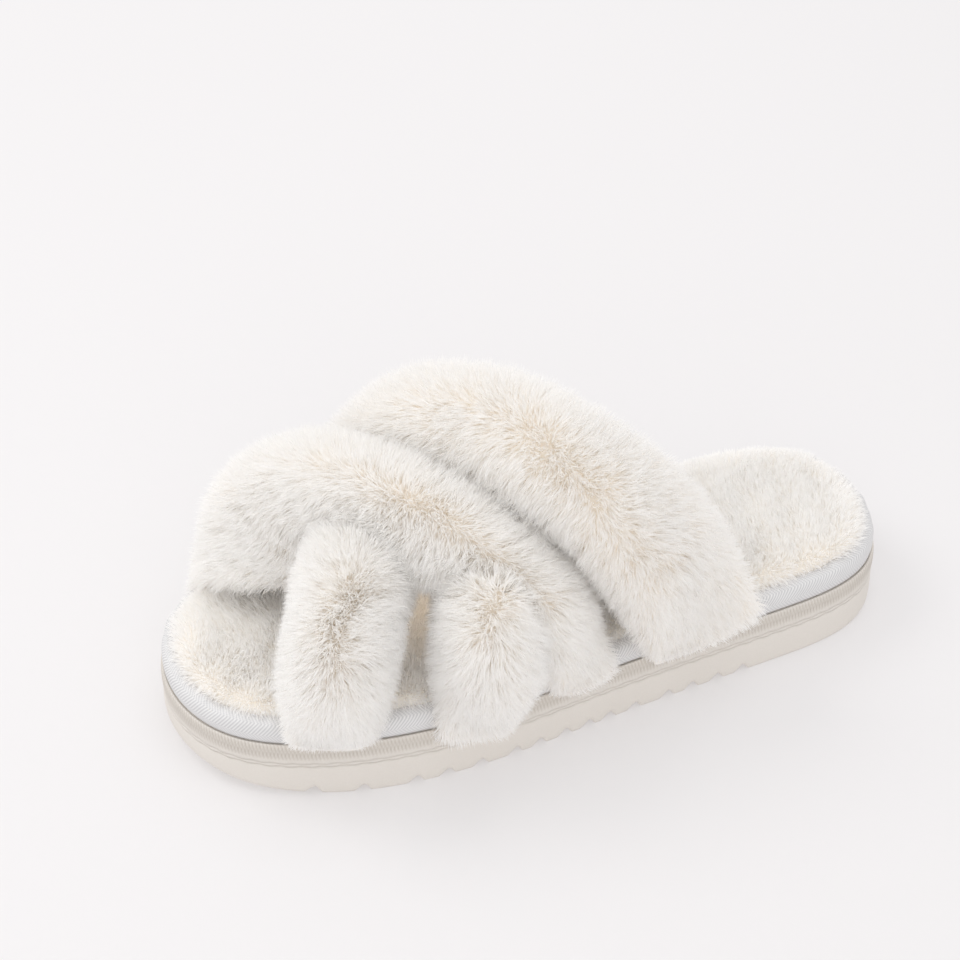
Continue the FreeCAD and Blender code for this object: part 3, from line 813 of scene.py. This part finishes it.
def grow_strap(strap, seed):
    """A strap's pile: it parts at the sleeve's crown to both sides and hangs towards its ends. No strand
    starts inside another strap, or low down over the footbed."""
    random = np.random.default_rng(seed)
    grid, _ = sleeve_grid(strap, 160, 96)
    normals = grid_normals(grid)
    roots, facing, turn, round_it = scatter(grid, normals, int(STRAP_TRIES * DENSITY), random)
    keep = np.ones(len(roots), bool)
    for other in STRAPS:
        if other != strap:
            keep &= ~inside_strap(roots, other, ROOT_CLEARANCE)
    depth = inside_distance(roots[:, :2])
    keep &= ~((roots[:, 2] < LOW_ROOTS) & (depth > 1))
    roots, facing, turn, round_it, depth = (part[keep] for part in (roots, facing, turn, round_it, depth))
    across, outward, _ = strap_axes(strap, turn)
    crown = np.cos(round_it * 2 * math.pi)[:, None]
    hang = DOWN - facing * (facing @ DOWN)[:, None]
    swirl = field(roots, 15.0, seed) * 0.20 + field(roots, 5.0, seed + 1) * 0.16
    end = smooth(1 - np.minimum(turn, 1 - turn) / END_SHARE)[:, None]
    lean = across * crown * PART_LEAN + hang * (HANG_LEAN + END_HANG * end) + swirl
    lean -= facing * (lean * facing).sum(1, keepdims=True) * 0.7
    inner = smooth(-(facing * outward).sum(1))
    length = FUR_LENGTH * (1 - INNER_CUT * inner) * (1 - END_CUT * end[:, 0])
    hem = np.where(turn < 0.5, STRAPS[strap]["hem"], MEDIAL_HEM) + random.uniform(-0.8, 1.8, len(roots))
    make_pile(strap + "_pile", roots, facing, lean, length, FUR_WIDTH, STRAND, FUR_CLUMP, FUR_GATHER,
              seed + 50, hem)


# ---------------------------------------------------------------- footbed

BED_INSET = 5.9
BED_LOW, BED_HIGH = 30.6, 34.0
BED_ROUNDING = 9.0
BED_SKIRT = 30.2


def bed_height(depth):
    """The plush's own top, rounded down to the tape all round."""
    share = np.clip((depth - BED_INSET) / BED_ROUNDING, 0, 1)
    return BED_LOW + (BED_HIGH - BED_LOW) * np.sqrt(np.clip(1 - (1 - share) ** 2, 0, 1))


def make_footbed():
    """The plush's backing: a skirt behind the tape, and the rounded top up to the sole's middle line."""
    columns = 360
    edge, normal, _, _ = outline(columns)
    rows = [np.column_stack([edge - normal * BED_INSET, np.full(columns, BED_SKIRT)])]
    for depth in (0.0, 0.4, 1.2, 2.4, 4.2, 6.5, 9.5):
        height = bed_height(BED_INSET + depth)
        rows.append(np.column_stack([edge - normal * (BED_INSET + depth), np.full(columns, height)]))
    rim = rows[-1]
    middle = np.column_stack([spine_under(edge[:, 1]), rim[:, 2]])
    for share in (0.2, 0.4, 0.6, 0.8, 1.0):
        rows.append(rim * (1 - share) + middle * share)
    across = np.tile(np.arange(columns) / columns, len(rows))
    down = np.repeat(np.linspace(0, 1, len(rows)), columns)
    piece = make_mesh("footbed_plush_base", np.concatenate(rows), grid_faces(len(rows), columns),
                      np.stack([across, down], 1))
    finish_piece(piece, SKIN, "plush", "footbed_plush")


FOOTBED_TRIES = 157500     # roots tried in the sole's box, before those outside the plush are left out
PLUSH_LENGTH, PLUSH_WIDTH = 5.8, 0.30
PLUSH_UNEVENNESS, PLUSH_RIM_CUT = 0.5, 1.0
PLUSH_CLUMP, PLUSH_GATHER = 12, 0.22
RIM_RUN, RIM_LEAN = 7.0, 0.75


def grow_footbed(seed):
    """Short dense pile over the footbed, leaning every way in tufts, and out over the tape at the edge."""
    random = np.random.default_rng(seed)
    tries = int(FOOTBED_TRIES * DENSITY)
    corner = np.array([BALL_WIDTH, SOLE_LENGTH]) / 2
    flat = random.uniform(-corner, corner, (tries, 2))
    depth = inside_distance(flat)
    keep = depth > BED_INSET - 0.1
    flat, depth = flat[keep], depth[keep]
    roots = np.column_stack([flat, bed_height(depth)])
    step = 0.5
    slope = (bed_height(depth + step) - bed_height(depth)) / step
    outward = np.column_stack([depth - inside_distance(flat + (step, 0)),
                               depth - inside_distance(flat + (0, step)), np.zeros(len(flat))]) / step
    facing = unit(outward * np.clip(slope, 0, 1.2)[:, None] + (0, 0, 1))
    swirl = field(roots, 18.0, seed) * 0.22 + field(roots, 6.0, seed + 1) * 0.16
    rim = smooth(1 - (depth - BED_INSET) / RIM_RUN)[:, None]
    lean = swirl + outward * rim * RIM_LEAN
    lean -= facing * (lean * facing).sum(1, keepdims=True) * 0.8
    uneven = field(roots, 9.0, seed + 2)[:, 0]
    length = PLUSH_LENGTH + PLUSH_UNEVENNESS * uneven - PLUSH_RIM_CUT * rim[:, 0]
    make_pile("footbed_pile", roots, facing, lean, length, PLUSH_WIDTH, PLUSH, PLUSH_CLUMP, PLUSH_GATHER,
              seed)


# ---------------------------------------------------------------- the object

make_outsole()
make_tape()
make_seam()
make_footbed()
grow_footbed(SEED)
for order, strap in enumerate(STRAPS):
    make_tube(strap + "_sleeve", strap, 0.0, SKIN, "fur", strap + "_fur")
    make_tube(strap + "_stuffing", strap, -WALL, FIBRE, "fibre", strap + "_filling")
    make_tabs(strap)
    grow_strap(strap, SEED + 100 * (order + 1))

for node, material in (("insole_board", BOARD), ("footbed_foam", FOAM)):
    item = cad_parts[node]
    if item.material_slots:
        for place in item.material_slots:
            place.material = material
    else:
        item.data.materials.append(material)

# ---------------------------------------------------------------- stage, light and camera


def make_floor():
    """A wide pale table that glows a little, so that it comes out as bright as a studio's backdrop."""
    nodes = Nodes("pale_floor")
    place = nodes.add("ShaderNodeTexCoord").outputs["Object"]
    clouds = nodes.add("ShaderNodeTexNoise", {"Vector": place, "Scale": 2.0, "Detail": 2.0})
    colour = nodes.ramp(clouds.outputs[0], [(0.3, (0.515, 0.505, 0.508)), (0.7, (0.525, 0.515, 0.518))])
    glow = {"Emission Color": (1.0, 0.985, 0.99, 1), "Emission Strength": 0.34}
    shader = nodes.add("ShaderNodeBsdfPrincipled", {"Base Color": colour, "Roughness": 0.9,
                                                    "Specular IOR Level": 0.0, **glow})
    half = 6000.0
    corners = [(-half, -half, 0), (half, -half, 0), (half, half, 0), (-half, half, 0)]
    floor = make_mesh("floor", np.array(corners), [(0, 1, 2, 3)])
    floor.data.materials.append(nodes.output(shader.outputs[0]))


def make_world():
    """Even light from all round."""
    world = bpy.data.worlds.new("studio")
    world.use_nodes = True
    background = world.node_tree.nodes["Background"]
    background.inputs[0].default_value = (1.0, 0.995, 1.0, 1)
    background.inputs[1].default_value = 0.86
    bpy.context.scene.world = world


def area_light(name, place, target, size, power, colour):
    """A round lamp at place that faces target, in metres and watts."""
    data = bpy.data.lights.new(name, "AREA")
    data.shape = "DISK"
    data.size = size
    data.energy = power
    data.color = colour
    lamp = bpy.data.objects.new(name, data)
    bpy.context.scene.collection.objects.link(lamp)
    lamp.location = place
    lamp.rotation_mode = "QUATERNION"
    lamp.rotation_quaternion = (Vector(target) - Vector(place)).to_track_quat("-Z", "Y")
    return lamp


CAMERA_AZIMUTH = 68.2
CAMERA_ELEVATION = 40.4
CAMERA_DISTANCE = 0.9627
CAMERA_SHIFT_RIGHT, CAMERA_SHIFT_UP = -0.0167, 0.0580
CAMERA_LENS = 102.0


def make_camera():
    """A camera that looks down at the lateral side from the front quarter, the slipper low in its frame."""
    azimuth, elevation = math.radians(CAMERA_AZIMUTH), math.radians(CAMERA_ELEVATION)
    back = Vector((math.sin(azimuth) * math.cos(elevation), -math.cos(azimuth) * math.cos(elevation),
                   math.sin(elevation)))
    right = Vector((math.cos(azimuth), math.sin(azimuth), 0))
    up = back.cross(right)
    data = bpy.data.cameras.new("camera")
    data.lens = CAMERA_LENS
    data.sensor_width = 36.0
    data.clip_start, data.clip_end = 0.01, 50
    camera = bpy.data.objects.new("camera", data)
    bpy.context.scene.collection.objects.link(camera)
    place = back * CAMERA_DISTANCE + right * CAMERA_SHIFT_RIGHT + up * CAMERA_SHIFT_UP
    axes = Matrix((right, up, back)).transposed().to_4x4()
    camera.matrix_world = Matrix.Translation(place) @ axes
    bpy.context.scene.camera = camera


make_floor()
make_world()
area_light("key", (-0.55, -0.75, 1.15), (0, 0, 0.04), 0.9, 4.8, (1.0, 0.99, 0.975))
area_light("fill", (1.3, -0.5, 0.8), (0, 0, 0.04), 1.2, 2.5, (1.0, 0.995, 0.99))
area_light("top", (0.0, 0.25, 1.5), (0, 0.03, 0.04), 0.8, 1.6, (1.0, 0.99, 0.98))
glow = area_light("arch_glow", (0.0, -0.035, 0.054), (0, -0.035, 0), 0.05, 0.0048, (1.0, 0.84, 0.66))
glow.visible_camera = False
make_camera()
bpy.context.scene.view_settings.view_transform = "Standard"
bpy.context.scene.cycles.max_bounces = 24
bpy.context.scene.cycles.diffuse_bounces = 16
bpy.context.scene.cycles.transmission_bounces = 16
